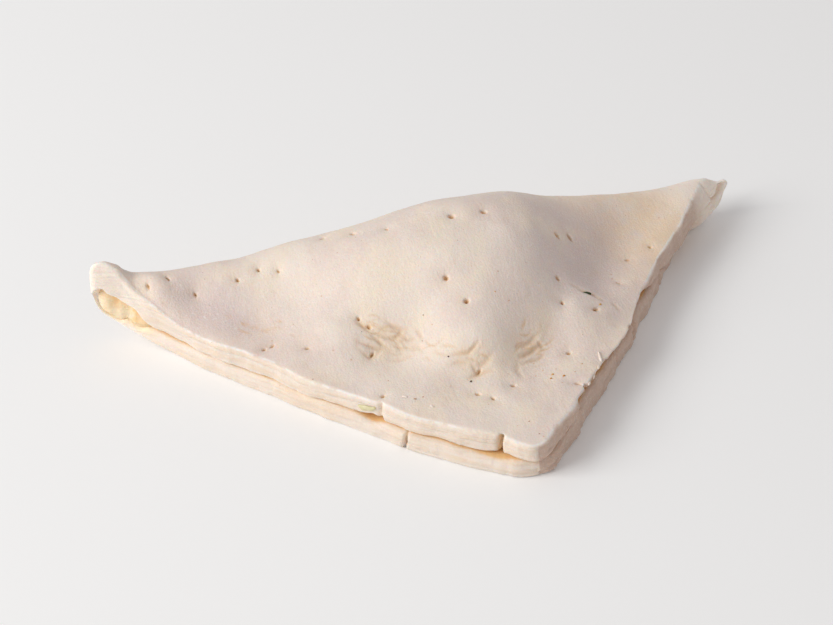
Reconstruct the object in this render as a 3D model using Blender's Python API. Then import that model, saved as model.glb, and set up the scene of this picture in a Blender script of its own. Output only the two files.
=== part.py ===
"""A raw chicken puff: one square of puff pastry dough, folded corner to corner over its filling.

Run with: blender --background --python part.py

The fold lies at the back, along X. The two cut sides run from its ends to the front corner, where the
upper and the lower leaf of the dough lie on each other. The shape is worked out in millimetres and
placed in metres, with the origin under the middle of the piece, on the surface that it rests on.
"""

import bmesh
import bpy
import numpy as np
from mathutils import Matrix

MM = 0.001

# Driving dimensions, in millimetres
HALF_FOLD = 75.0                        # half the length of the folded side
SIDE = HALF_FOLD * np.sqrt(2)           # side of the square of dough
RIM_TOP = 8.8                           # height of the closed rim, two leaves high
GROOVE_DEPTH = 5.0                      # how far the gap between the two leaves runs in
UPPER_ROUNDS = (0.5, 0.7)               # rounding of the upper leaf's cut face, at the skin and at the gap
LOWER_ROUNDS = (0.8, 1.5)               # the same of the lower leaf

# How finely the square of dough is divided
GRID = 50

# Along the fold, left to right: height of its shoulder, how far that falls off behind it, and how far
# it rounds over in plan
SHOULDER = [(-75, 20.2), (-70, 19.2), (-66, 17.6), (-60, 16.8), (-45, 17.0), (-30, 18.9), (-15, 20.5),
            (0, 22.8), (15, 22.0), (30, 17.5), (45, 13.7), (58, 11.4), (65, 11.4), (69, 11.0), (72, 9.8),
            (75, 9.0)]
FALL = [(-75, 3.5), (-60, 4.6), (-40, 9.0), (0, 13.5), (30, 10.0), (50, 7.5), (75, 3.5)]
REACH = [(-75, 1.2), (-70, 3.0), (-62, 5.8), (-30, 8.0), (0, 10.0), (15, 10.0), (30, 8.5), (60, 6.0),
         (68, 4.2), (75, 1.8)]

# Along each cut side, from the front corner to the tip: how far each leaf stands out from a straight side
LEFT_UPPER = [(0, -0.6), (4, -0.7), (8, -1.0), (11, -0.3), (16, 0.6), (22, 1.2), (29, 2.0), (36, 1.6),
              (43, 1.8), (52, 2.2), (57, 1.7), (62, 0.8), (68, 0.7), (74, 0.9), (80, 0.5), (85, 0.3),
              (90, 0.2), (97, -0.2), (102, 1.2), (104.5, 2.0), (106, 1.4)]
LEFT_LOWER = [(0, -0.4), (3, -0.1), (6, 0.5), (10, 1.3), (15, 2.0), (22, 2.5), (29, 3.1), (36, 2.7),
              (43, 2.5), (52, 2.3), (60, 1.6), (70, 1.0), (80, 0.4), (88, -0.2), (97, 0.0), (102, 1.0),
              (104.5, 1.6), (106, 1.0)]
RIGHT_UPPER = [(0, -1.4), (5.5, -1.6), (10, -1.0), (15, -0.7), (21, -0.9), (27, -0.6), (33, -0.2),
               (38.5, 0.3), (45, 0.1), (49, -0.8), (53, -1.6), (60, -2.4), (68, -2.8), (76, -2.7),
               (84, -2.6), (92, -2.4), (97, -2.7), (101, -2.7), (106, -1.0)]
RIGHT_LOWER = [(0, -0.4), (6, -0.4), (14, -0.1), (27, -0.2), (41, -0.5), (49, -0.9), (59, -1.8), (68, -2.4),
               (78, -3.7), (84, -4.7), (87.5, -4.4), (91, -3.0), (95, -0.8), (98, 0.2), (102, 1.3),
               (106, 0.9)]

# In the same way: the height where the two leaves meet, the gap between them, and how far the upper cut
# face slants outward
LEFT_MEETING = [(0, 4.4), (6, 4.3), (12, 3.8), (18, 4.2), (24, 4.4), (38, 4.4), (46, 4.8), (56, 4.5),
                (70, 4.4), (75, 4.9), (80, 4.5), (86, 4.2), (91, 4.5), (93.5, 5.4), (95.5, 6.3),
                (97.5, 7.6), (99.5, 8.7), (102, 9.9), (104, 11.0), (106, 12.3)]
RIGHT_MEETING = [(0, 4.4), (4, 4.6), (9, 5.4), (14, 6.4), (18, 6.9), (30, 7.0), (45, 7.0), (57, 6.6),
                 (64, 5.5), (72, 4.5), (80, 3.7), (88, 4.5), (94, 5.5), (99, 6.6), (102, 7.3), (106, 8.2)]
LEFT_GAP = [(0, 0.3), (4, 0.5), (9, 1.1), (13, 0.3), (29, 0.25), (34, 0.5), (37, 1.6), (39.5, 1.0),
            (42, 0.3), (88, 0.3), (91, 0.4), (93.5, 1.5), (95.5, 4.2), (97.5, 5.8), (99.5, 6.4),
            (102, 6.4), (104, 4.5), (106, 0.6)]
RIGHT_GAP = [(0, 0.3), (10, 0.4), (18, 1.0), (30, 1.3), (48, 1.3), (60, 1.3), (68, 0.6), (78, 0.3),
             (88, 0.5), (93, 1.2), (99, 1.8), (103, 1.6), (106, 0.4)]
LEFT_SLANT = [(0, 0.2), (78, 0.2), (85, -0.8), (90, -1.1), (94, -0.1), (98, 0.7), (103, 1.0), (106, 0.6)]
RIGHT_SLANT = [(0, 0.6), (4, 1.1), (14, 1.0), (19, -0.5), (56, -0.5), (62, 0.1), (78, 0.3), (86, 0.9),
               (92, 2.0), (99, 3.2), (103, 2.4), (106, 0.8)]
FRONT_ROUND_UPPER = 3.5                 # rounding of the front corner in plan
FRONT_ROUND_LOWER = 6.0

# The heaps of filling under the upper leaf: centre x and y, height, spread along and across, turn and
# steepness
HEAPS = [
    (4.0, -26.0, 6.6, 14.0, 11.5, 8, 1.3),
    (-16.0, -24.0, 3.8, 15.0, 9.0, 10, 1.0),
    (-3.0, -40.0, 4.2, 9.0, 5.5, 0, 1.4),
    (24.0, -38.5, 2.8, 8.0, 5.5, -62, 1.2),
]
HEAP_MARGIN = 12.0                      # how far from a cut side the heaps reach their full height

# Along each cut side, from its tip: how far the edge of the upper leaf curls up, or down
LEFT_CURL = [(0, 1.6), (2.5, 1.3), (6.3, 0.3), (8.3, -1.9), (11, -3.4), (15.8, -1.9), (21, -0.5), (26, -0.1),
             (30, 0), (34, 0)]
RIGHT_CURL = [(0, -0.2), (10, -1.0), (20, -0.3), (30, 0), (34, 0)]
CURL_REACH = 5.0

# Soft bumps and hollows of the upper leaf, given as the heaps are
BUMPS = [
    (7.3, -47.9, -1.24, 7.7, 3.9, 35, 1.0),
    (-34.2, -31.8, 1.91, 9.7, 4.6, -36, 1.0),
    (-44.6, -21.2, -1.19, 7.4, 3.0, -50, 1.0),
    (-35.2, -31.0, -0.63, 6.3, 3.0, -85, 1.0),
    (23.4, -52.6, -0.48, 4.7, 3.0, 43, 1.0),
    (32.9, -41.2, -0.67, 3.3, 6.4, 115, 1.0),
    (0.0, -49.0, 0.63, 3.2, 5.3, -1, 1.0),
    (-38.1, -18.0, -1.79, 10.4, 4.4, -28, 1.0),
    (20.5, -21.7, 1.83, 4.8, 12.0, -58, 1.0),
    (-5.7, -23.9, -1.26, 10.6, 5.1, 29, 1.0),
    (19.5, -34.2, -0.93, 3.6, 3.0, 43, 1.0),
    (34.7, -22.3, -1.09, 3.2, 8.4, -42, 1.0),
    (47.7, -14.7, -0.58, 9.6, 4.6, -27, 1.0),
    (0.3, -36.4, -1.13, 6.8, 3.6, -40, 1.0),
    (11.8, -35.7, 1.14, 4.0, 4.0, 17, 1.0),
    (-15.8, -38.9, -2.20, 9.0, 3.2, -2, 1.0),
    (-56.0, -9.8, -1.92, 4.6, 3.0, -25, 1.0),
    (-21.1, -16.9, 1.24, 7.7, 5.5, 3, 1.0),
    (-0.2, -17.7, -2.14, 8.9, 4.6, -1, 1.0),
    (31.2, -37.3, 1.07, 6.0, 3.0, 44, 1.0),
    (-15.6, -49.7, 0.23, 7.3, 3.0, 12, 1.0),
    (50.6, -18.7, 1.09, 9.2, 3.0, 40, 1.0),
]

# Holes pricked into the upper leaf: their places in plan, x and y
PRICKS = [(-64, -9), (-61, -8), (-56, -11.5), (-46.5, -11.5), (-41.5, -10.5), (-37.5, -12.5), (-26, -8),
          (-20.5, -10), (-13.5, -13), (-1, -19.5), (6.5, -19), (24, -19.5), (27, -19), (-5.5, -30.5),
          (-3.5, -37), (19.5, -31.5), (18.5, -37), (25.5, -39.5), (45.5, -21.5), (39, -24), (-25, -29.5),
          (-23, -32.5), (-24.5, -37.5), (-44.5, -27.5), (-36, -31.5), (-25.5, -48), (-5, -49.5),
          (-7, -54.5), (-4.5, -57), (1, -54.5), (15.5, -48.5), (13.5, -57)]
PRICK_WIDTH = 1.7
PRICK_DEPTH = 2.4

# Cracks in the cut faces of the left side: distance from the front corner, leaf, width, height, depth
CRACKS = [(29.2, -1, 1.0, 11.0, 2.6), (8.4, 1, 2.2, 9.0, 3.2), (35.3, 1, 2.0, 6.5, 2.2),
          (38.5, 0, 4.5, 2.6, 3.6)]


def through(knots, x):
    """A smooth curve through the knots, each a place and the value there, which nowhere overshoots them."""
    places, values = np.array(knots, float).T
    x = np.clip(x, places[0], places[-1])
    i = np.clip(np.searchsorted(places, x, side="right") - 1, 0, len(places) - 2)
    rate = np.diff(values) / np.diff(places)
    before, after = rate[:-1], rate[1:]
    both = np.where(before + after == 0, 1, before + after)
    bend = np.where(before * after > 0, 2 * before * after / both, 0)
    slope = np.concatenate([rate[:1], bend, rate[-1:]])
    span = places[i + 1] - places[i]
    t = (x - places[i]) / span
    rise = t * t * (3 - 2 * t)
    return (values[i] * (1 - rise) + values[i + 1] * rise
            + span * (slope[i] * t * (1 - t) ** 2 - slope[i + 1] * t * t * (1 - t)))


def ease(x, start, end):
    """0 before start, 1 after end, smooth between them."""
    t = np.clip((x - start) / (end - start), 0, 1)
    return t * t * (3 - 2 * t)


def heap(x, y, centre_x, centre_y, height, along, across, turn, steepness):
    """A rounded heap on the plan."""
    angle = np.radians(turn)
    u = ((x - centre_x) * np.cos(angle) + (y - centre_y) * np.sin(angle)) / along
    v = ((y - centre_y) * np.cos(angle) - (x - centre_x) * np.sin(angle)) / across
    return height * np.exp(-0.5 * (u * u + v * v) ** steepness)


def underside(x):
    """Height of the underside: flat, with both ends of the fold lifted a little."""
    return 8.0 * ease(-x, 61, 82) + 3.0 * ease(x, 56, 77) ** 1.3


def topside(x, y):
    """Height of the upper leaf before it rounds over at the fold."""
    behind_shoulder = np.clip(-y - through(REACH, x), 0, None)
    falloff = np.exp(-0.5 * (behind_shoulder / through(FALL, x)) ** 2)
    z = RIM_TOP + (through(SHOULDER, x) - RIM_TOP) * falloff
    inside = ease((y + HALF_FOLD - np.abs(x)) / np.sqrt(2), 0, HEAP_MARGIN)
    for filling in HEAPS:
        z = z + heap(x, y, *filling) * inside
    for curl, side in ((LEFT_CURL, -1), (RIGHT_CURL, 1)):
        from_tip = (HALF_FOLD - side * x) * np.sqrt(2)
        from_side = np.clip((y + HALF_FOLD - side * x) / np.sqrt(2), 0, None)
        z = z + through(curl, from_tip) * np.exp(-from_side / CURL_REACH)
    for bump in BUMPS:
        z = z + heap(x, y, *bump)
    return z


def fade(from_side, reach):
    """1 at a side, dying away within the reach; from_side is a share of the side's length."""
    return np.exp(-(np.clip(from_side, 0, None) * SIDE / reach) ** 2)


def rounded(to_left, to_right, upper):
    """The place on the leaf with its square front corner drawn in to a round one."""
    radius = np.where(upper, FRONT_ROUND_UPPER, FRONT_ROUND_LOWER) / SIDE
    u, v = radius - to_left, radius - to_right
    within = (u > 0) & (v > 0)
    pull = np.where(within, np.maximum(u, v) / np.maximum(np.hypot(u, v), 1e-9), 1)
    return np.where(within, radius - u * pull, to_left), np.where(within, radius - v * pull, to_right)


def skin(s, t):
    """Outer skin of the folded square of dough, whose two sides s and t run from 0 to 1.

    The lower leaf has s + t below 1, and the upper leaf is folded back over it along s + t = 1.
    """
    upper = s + t > 1
    to_left, to_right = rounded(np.where(upper, 1 - t, s), np.where(upper, 1 - s, t), upper)
    x = (to_right - to_left) * HALF_FOLD
    from_fold = (1 - to_left - to_right) * HALF_FOLD
    reach = through(REACH, x)
    roll = reach * np.pi / 2
    turn = np.clip(1 - from_fold / roll, 0, 1) * np.pi / 2
    flat = reach + (from_fold - roll) * (HALF_FOLD - reach) / (HALF_FOLD - roll)
    y = -np.where(from_fold < roll, reach * (1 - np.sin(turn)), flat)
    at_side = np.clip(fade(to_right, 22) + fade(to_left, 22), 0, 1)
    at_side = at_side * ease(from_fold, 0.5 * roll, 2 * roll)
    y = y * (1 - at_side) - from_fold * at_side
    share = 0.5 + np.where(upper, 0.5, -0.5) * np.cos(turn)
    along_left, along_right = to_left * SIDE, to_right * SIDE
    left = through(LEFT_UPPER, along_left) * share + through(LEFT_LOWER, along_left) * (1 - share)
    right = through(RIGHT_UPPER, along_right) * share + through(RIGHT_LOWER, along_right) * (1 - share)
    left, right = left * fade(to_right, 16), right * fade(to_left, 16)
    x, y = x + (right - left) / np.sqrt(2), y - (right + left) / np.sqrt(2)
    middle = 0.5 * (topside(x, -reach) + underside(x))
    side_height = np.where(upper, topside(x, y), underside(x))
    return np.stack([x, y, middle + (side_height - middle) * np.cos(turn)], -1)


def rim_place(walk):
    """Round the square's edge, walk runs from 0 to 4: s, t, distance from the front corner, side, leaf.

    The side is above 0 on the left and below 0 on the right. The leaf is 1 for the upper one and -1 for the
    lower one.
    """
    s = np.interp(walk, [0, 1, 2, 3, 4], [0, 1, 1, 0, 0])
    t = np.interp(walk, [0, 1, 2, 3, 4], [0, 0, 1, 1, 0])
    from_front = np.interp(walk, [0, 1, 2, 3, 4], [0, 1, 0, 1, 0]) * SIDE
    side = np.interp(walk, [0, 1, 2, 3, 4], [0, 1, 0, -1, 0]) * SIDE
    leaf = np.clip(np.interp(walk, [0, 1, 2, 3, 4], [-1, 0, 1, 0, -1]) * SIDE, -1, 1)
    return s, t, from_front, side, leaf


def by_side(side, left_knots, right_knots, from_front):
    """A value along the cut sides, passing smoothly from the left to the right one at the front corner."""
    left = ease(side, -3, 3)
    return through(left_knots, from_front) * left + through(right_knots, from_front) * (1 - left)


def cut_face(walk, station):
    """A point of the cut faces: station runs from 0 at the skin to 1 at the gap between the leaves."""
    s, t, from_front, side, leaf = rim_place(walk)
    edge = skin(s, t)
    half_gap = by_side(side, LEFT_GAP, RIGHT_GAP, from_front) / 2
    lip_height = by_side(side, LEFT_MEETING, RIGHT_MEETING, from_front) + leaf * half_gap
    high = np.maximum(np.abs(edge[:, 2] - lip_height), 0.05)
    upper = 0.5 + leaf / 2
    rounds = [np.minimum(at_upper * upper + at_lower * (1 - upper), 0.4 * high)
              for at_upper, at_lower in zip(UPPER_ROUNDS, LOWER_ROUNDS)]
    first = np.clip(station / 0.3, 0, 1) * np.pi / 2
    last = np.clip((station - 0.6) / 0.4, 0, 1) * np.pi / 2
    straight = (high - rounds[0] - rounds[1]) * np.clip((station - 0.3) / 0.3, 0, 1)
    deep = (rounds[0] * (1 - np.cos(first)) + straight + rounds[1] * np.sin(last)) / high
    slant = by_side(side, LEFT_SLANT, RIGHT_SLANT, from_front) * upper
    out = rounds[0] * np.sin(first) - rounds[1] * (1 - np.cos(last)) + slant * deep
    angle = np.radians(45) * np.clip(side / FRONT_ROUND_LOWER, -1, 1)
    x, y = edge[:, 0] - np.sin(angle) * out, edge[:, 1] - np.cos(angle) * out
    return np.stack([x, y, edge[:, 2] + (lip_height - edge[:, 2]) * deep], -1)


def groove(walk, station):
    """A point of the gap between the leaves: station runs from 0 at the cut face to 1, where they meet."""
    lip, facing_lip = cut_face(walk, 1.0), cut_face((2 - walk) % 4, 1.0)
    side, from_front = rim_place(walk)[3], rim_place(walk)[2]
    angle = np.radians(45) * np.clip(side / FRONT_ROUND_LOWER, -1, 1)
    depth = np.minimum(GROOVE_DEPTH, 0.4 + 0.5 * (SIDE - from_front))
    point = lip + (0.5 * (lip + facing_lip) - lip) * ease(station, 0, 1)
    point[:, 0] += np.sin(angle) * depth * station
    point[:, 1] += np.cos(angle) * depth * station
    return point


def folded_dough():
    """The pastry as one closed body: skin, cut faces, and the groove between the leaves."""
    bm = bmesh.new()
    walk_of = bm.verts.layers.float.new("walk")
    bmesh.ops.create_grid(bm, x_segments=GRID, y_segments=GRID, size=0.5)
    verts = list(bm.verts)
    s, t = (np.array([v.co[axis] for v in verts]) + 0.5 for axis in (0, 1))
    for vert, point in zip(verts, skin(s, t)):
        vert.co = point
    walk = np.where(t < 1e-6, s, np.where(s > 1 - 1e-6, 1 + t, np.where(t > 1 - 1e-6, 3 - s, 4 - t)))
    for vert, value in zip(verts, walk):
        vert[walk_of] = value
    rings = [(cut_face, station) for station in (0.15, 0.3, 0.6, 0.8, 1.0)]
    rings += [(groove, station) for station in (0.3, 0.65, 1.0)]
    edges = [edge for edge in bm.edges if edge.is_boundary]
    for surface, station in rings:
        grown = bmesh.ops.extrude_edge_only(bm, edges=edges)["geom"]
        edges = [part for part in grown if isinstance(part, bmesh.types.BMEdge)]
        ring = [part for part in grown if isinstance(part, bmesh.types.BMVert)]
        points = surface(np.array([v[walk_of] for v in ring]), station)
        for vert, point in zip(ring, points):
            vert.co = point
    bmesh.ops.remove_doubles(bm, verts=bm.verts, dist=0.02)
    resting = [face for face in bm.faces if max(v.co.z for v in face.verts) < 1e-6]
    bmesh.ops.dissolve_faces(bm, faces=resting, use_verts=True)
    return bm


def spike(bm, place, into, width, height, depth, sides):
    """A pointed cutter that enters at the place and goes in by the depth."""
    into = np.array(into) / np.linalg.norm(into)
    level = np.cross(into, (0.0, 0.3, 1.0))
    level /= np.linalg.norm(level)
    upright = np.cross(level, into)
    lift = 0.6
    columns = [level * width / 2, upright * height / 2, into * (depth + lift)]
    centre = np.array(place) + into * (depth - lift) / 2
    turned = Matrix([[*row, c] for row, c in zip(np.transpose(columns), centre)] + [[0, 0, 0, 1]])
    bmesh.ops.create_cone(bm, cap_ends=True, segments=sides, radius1=1, radius2=0, depth=1, matrix=turned)


def prick_cutter():
    """Every pricked hole, each square to the surface where it goes in."""
    bm = bmesh.new()
    for x, y in PRICKS:
        xs, ys = np.array([x, x + 1, x, x]), np.array([y, y, y + 1, y])
        height = topside(xs, ys)
        into = (height[1] - height[0], height[2] - height[0], -1.0)
        spike(bm, (x, y, height[0]), into, PRICK_WIDTH, PRICK_WIDTH, PRICK_DEPTH, 8)
    return bm


def crack_cutter():
    """The cracks and notches in the cut faces of the left side."""
    bm = bmesh.new()
    for from_front, leaf, width, height, depth in CRACKS:
        share = from_front / SIDE
        walk = np.array([share if leaf < 0 else 2 - share])
        place = cut_face(walk, 0.45)[0] if leaf else cut_face(walk, 1.0)[0]
        spike(bm, place, (1.0, 1.0, 0.0), width, height, depth, 4)
    return bm


def add_object(name, bm, shift, collection):
    """The mesh as an object, moved by the shift and brought to metres."""
    bmesh.ops.translate(bm, verts=bm.verts, vec=shift)
    bmesh.ops.scale(bm, verts=bm.verts, vec=(MM, MM, MM))
    bmesh.ops.recalc_face_normals(bm, faces=bm.faces)
    mesh = bpy.data.meshes.new(name)
    bm.to_mesh(mesh)
    bm.free()
    added = bpy.data.objects.new(name, mesh)
    collection.objects.link(added)
    return added


def main():
    for old in list(bpy.data.objects):
        bpy.data.objects.remove(old)
    parts = bpy.data.collections.new("chicken_puff")
    cutters = bpy.data.collections.new("chicken_puff_cutters")
    for collection in (parts, cutters):
        bpy.context.scene.collection.children.link(collection)

    bm = folded_dough()
    places = np.array([v.co for v in bm.verts])
    low, high = places.min(axis=0), places.max(axis=0)
    shift = (-(low[0] + high[0]) / 2, -(low[1] + high[1]) / 2, -low[2])
    pastry = add_object("pastry", bm, shift, parts)
    pastry.data.shade_smooth()

    for name, cutter_mesh in (("prick_cutter", prick_cutter()), ("crack_cutter", crack_cutter())):
        cutter = add_object(name, cutter_mesh, shift, cutters)
        cutter.hide_render = True
        cutter.display_type = "WIRE"
        cut = pastry.modifiers.new(name, "BOOLEAN")
        cut.operation = "DIFFERENCE"
        cut.solver = "EXACT"
        cut.object = cutter

    dough = bpy.data.materials.new("raw_dough")
    dough.use_nodes = True
    surface = dough.node_tree.nodes["Principled BSDF"]
    surface.inputs["Base Color"].default_value = (0.76, 0.64, 0.54, 1)
    surface.inputs["Roughness"].default_value = 0.62
    pastry.data.materials.append(dough)


main()
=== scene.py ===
"""A raw chicken puff: one square of puff pastry dough, folded corner to corner over its filling.

The dough is worked out in millimetres: x along the folded side, y from the front corner back to the fold,
z up from the surface that it rests on. It is moved to the part's frame and to metres at the end.
"""

from math import cos, radians, sin

import bmesh
import bpy
import numpy as np
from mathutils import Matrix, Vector


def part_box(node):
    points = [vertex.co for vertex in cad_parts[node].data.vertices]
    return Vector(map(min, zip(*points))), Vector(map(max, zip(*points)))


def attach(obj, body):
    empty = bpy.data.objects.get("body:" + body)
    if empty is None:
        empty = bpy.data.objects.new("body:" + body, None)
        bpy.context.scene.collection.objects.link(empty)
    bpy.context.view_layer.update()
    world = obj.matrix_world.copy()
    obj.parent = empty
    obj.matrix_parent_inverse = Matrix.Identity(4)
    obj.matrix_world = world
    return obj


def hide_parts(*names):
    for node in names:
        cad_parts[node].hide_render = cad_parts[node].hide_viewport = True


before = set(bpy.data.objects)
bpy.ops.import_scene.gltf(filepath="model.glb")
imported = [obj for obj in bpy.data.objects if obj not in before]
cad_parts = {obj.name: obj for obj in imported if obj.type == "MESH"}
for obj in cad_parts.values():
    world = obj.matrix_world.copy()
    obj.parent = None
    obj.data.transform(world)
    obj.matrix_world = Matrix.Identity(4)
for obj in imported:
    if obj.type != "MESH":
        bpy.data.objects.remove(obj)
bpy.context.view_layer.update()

# Millimetres in metres, then lengths in millimetres
MM = 0.001
HALF_FOLD = 75.0
SIDE = HALF_FOLD * np.sqrt(2)
RIM_TOP = 8.8
GROOVE_DEPTH = 5.0
UPPER_ROUNDS = (0.75, 0.7)
LOWER_ROUNDS = (0.7, 1.5)

# How finely the dough is divided, and how much finer it gets: above this height, round the holes and in the
# first few bundles of wrinkles
GRID = 280
ABOVE_LOWER_LEAF = 6.0
FINE_BUNDLES = 3

# How deep the sculpted forms go: wrinkles and holes as a share of their own depth, dimples in millimetres
WRINKLE_SEED = 11
WRINKLE_SHARE = 0.5
HOLE_SHARE = 0.42
DIMPLE_DEPTH = 0.34

# Along the fold, left to right: height of its shoulder, how far that falls off behind it, and how far it
# rounds over in plan
SHOULDER = [(-75, 20.2), (-70, 19.2), (-66, 18.2), (-60, 17.3), (-45, 17.0), (-30, 18.9), (-15, 20.5),
            (0, 22.8), (15, 22.0), (30, 17.5), (45, 13.7), (58, 11.4), (65, 11.4), (69, 11.0), (72, 9.8),
            (75, 9.0)]
FALL = [(-75, 3.5), (-60, 4.6), (-40, 9.0), (0, 13.5), (30, 10.0), (50, 7.5), (75, 3.5)]
REACH = [(-75, 1.2), (-70, 3.0), (-62, 5.8), (-30, 8.0), (0, 10.0), (15, 10.0), (30, 8.5), (60, 6.0),
         (68, 4.2), (75, 1.8)]

# Along each cut side, from the front corner to the tip: how far each leaf stands out from a straight side
LEFT_UPPER = [(0, -0.6), (4, -0.7), (8, -1.0), (11, -0.3), (16, 0.6), (22, 1.2), (29, 2.0), (36, 1.6),
              (43, 1.8), (52, 2.2), (57, 1.7), (62, 0.8), (68, 0.7), (74, 0.9), (80, 0.5), (85, 0.3),
              (90, 0.2), (97, -0.2), (102, 1.2), (104.5, 2.1), (106, 2.1)]
LEFT_LOWER = [(0, -0.4), (3, -0.1), (6, 0.5), (10, 1.3), (15, 2.0), (22, 2.5), (29, 3.1), (36, 2.7),
              (43, 2.5), (52, 2.3), (60, 1.6), (70, 1.0), (80, 0.4), (88, -0.2), (97, 0.0), (102, 1.0),
              (104.5, 1.6), (106, 1.0)]
RIGHT_UPPER = [(0, -1.4), (5.5, -1.6), (10, -1.0), (15, -0.7), (21, -0.9), (27, -0.6), (33, -0.2),
               (38.5, 0.3), (45, 0.1), (49, -0.8), (53, -1.6), (60, -2.4), (68, -2.8), (76, -2.7),
               (84, -2.6), (92, -2.4), (97, -2.7), (101, -2.7), (106, -1.0)]
RIGHT_LOWER = [(0, -0.4), (6, -0.4), (14, -0.1), (27, -0.2), (41, -0.5), (49, -0.9), (59, -1.8), (68, -2.4),
               (78, -3.7), (84, -4.7), (87.5, -4.4), (91, -3.0), (95, -0.8), (98, 0.2), (102, 1.3),
               (106, 0.9)]

# In the same way: the height where the two leaves meet, the gap between them, and how far the upper cut
# face slants outward
LEFT_MEETING = [(0, 4.4), (6, 4.3), (12, 3.8), (18, 4.2), (24, 4.4), (38, 4.4), (46, 4.8), (56, 4.5),
                (70, 4.4), (75, 4.9), (80, 4.5), (86, 4.2), (91, 4.5), (93.5, 5.4), (95.5, 6.3),
                (97.5, 7.6), (99.5, 8.7), (102, 9.9), (104, 11.0), (106, 12.3)]
RIGHT_MEETING = [(0, 4.4), (4, 4.6), (9, 5.4), (14, 6.4), (18, 6.9), (30, 7.0), (45, 7.0), (57, 6.6),
                 (64, 5.5), (72, 4.5), (80, 3.7), (88, 4.5), (94, 5.5), (99, 6.6), (102, 7.3), (106, 8.2)]
LEFT_GAP = [(0, 0.3), (4, 0.4), (8.5, 0.8), (12, 0.3), (29, 0.25), (34, 0.5), (37, 1.6), (39.5, 1.0),
            (42, 0.3), (88, 0.3), (91, 0.4), (93.5, 1.5), (95.5, 4.2), (97.5, 5.8), (99.5, 6.4),
            (102, 6.4), (104, 4.5), (106, 0.6)]
RIGHT_GAP = [(0, 0.3), (10, 0.4), (18, 1.0), (30, 1.3), (48, 1.3), (60, 1.3), (68, 0.6), (78, 0.3),
             (88, 0.5), (93, 1.2), (99, 1.8), (103, 1.6), (106, 0.4)]
LEFT_SLANT = [(0, 0.2), (78, 0.2), (85, -0.8), (90, -1.1), (94, -0.1), (98, 0.7), (103, 1.0), (106, 0.6)]
RIGHT_SLANT = [(0, 0.6), (4, 1.1), (14, 1.0), (19, -0.5), (56, -0.5), (62, 0.1), (78, 0.3), (86, 0.9),
               (92, 2.0), (99, 3.2), (103, 2.4), (106, 0.8)]
FRONT_ROUND_UPPER = 3.5
FRONT_ROUND_LOWER = 6.0

# The heaps of filling under the upper leaf, which die away at the rim: centre x and y, height, spread along
# and across, turn and steepness
HEAPS = [
    (4.0, -26.0, 6.6, 14.0, 11.5, 8, 1.3),
    (-16.0, -24.0, 3.8, 15.0, 9.0, 10, 1.0),
    (-3.0, -40.0, 4.2, 9.0, 5.5, 0, 1.4),
    (24.0, -38.5, 2.8, 8.0, 5.5, -62, 1.2),
]
HEAP_MARGIN = 12.0

# Along each cut side, from its tip: how far the edge of the upper leaf curls up, or down
LEFT_CURL = [(0, 1.25), (2.5, 1.05), (6.3, 0.2), (8.3, -1.9), (11, -3.4), (15.8, -1.9), (21, -0.5),
             (26, -0.1), (30, 0), (34, 0)]
RIGHT_CURL = [(0, -0.2), (10, -1.0), (20, -0.3), (30, 0), (34, 0)]
CURL_REACH = 5.0

# Soft bumps and hollows of the upper leaf, given as the heaps are. These values weren't chosen by hand: they
# come from a least-squares fit of the leaf's shading to the photograph's, and are data, not a design
BUMPS = [
    (7.3, -47.9, -1.24, 7.7, 3.9, 35, 1.0),
    (-34.2, -31.8, 1.91, 9.7, 4.6, -36, 1.0),
    (-44.6, -21.2, -1.19, 7.4, 3.0, -50, 1.0),
    (-35.2, -31.0, -0.63, 6.3, 3.0, -85, 1.0),
    (23.4, -52.6, -0.48, 4.7, 3.0, 43, 1.0),
    (32.9, -41.2, -0.67, 3.3, 6.4, 115, 1.0),
    (0.0, -49.0, 0.63, 3.2, 5.3, -1, 1.0),
    (-38.1, -18.0, -1.79, 10.4, 4.4, -28, 1.0),
    (20.5, -21.7, 1.83, 4.8, 12.0, -58, 1.0),
    (-5.7, -23.9, -1.26, 10.6, 5.1, 29, 1.0),
    (19.5, -34.2, -0.93, 3.6, 3.0, 43, 1.0),
    (34.7, -22.3, -1.09, 3.2, 8.4, -42, 1.0),
    (47.7, -14.7, -0.58, 9.6, 4.6, -27, 1.0),
    (0.3, -36.4, -1.13, 6.8, 3.6, -40, 1.0),
    (11.8, -35.7, 1.14, 4.0, 4.0, 17, 1.0),
    (-15.8, -38.9, -2.20, 9.0, 3.2, -2, 1.0),
    (-56.0, -9.8, -1.92, 4.6, 3.0, -25, 1.0),
    (-21.1, -16.9, 1.24, 7.7, 5.5, 3, 1.0),
    (-0.2, -17.7, -2.14, 8.9, 4.6, -1, 1.0),
    (31.2, -37.3, 1.07, 6.0, 3.0, 44, 1.0),
    (-15.6, -49.7, 0.23, 7.3, 3.0, 12, 1.0),
    (50.6, -18.7, 1.09, 9.2, 3.0, 40, 1.0),
]

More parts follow.
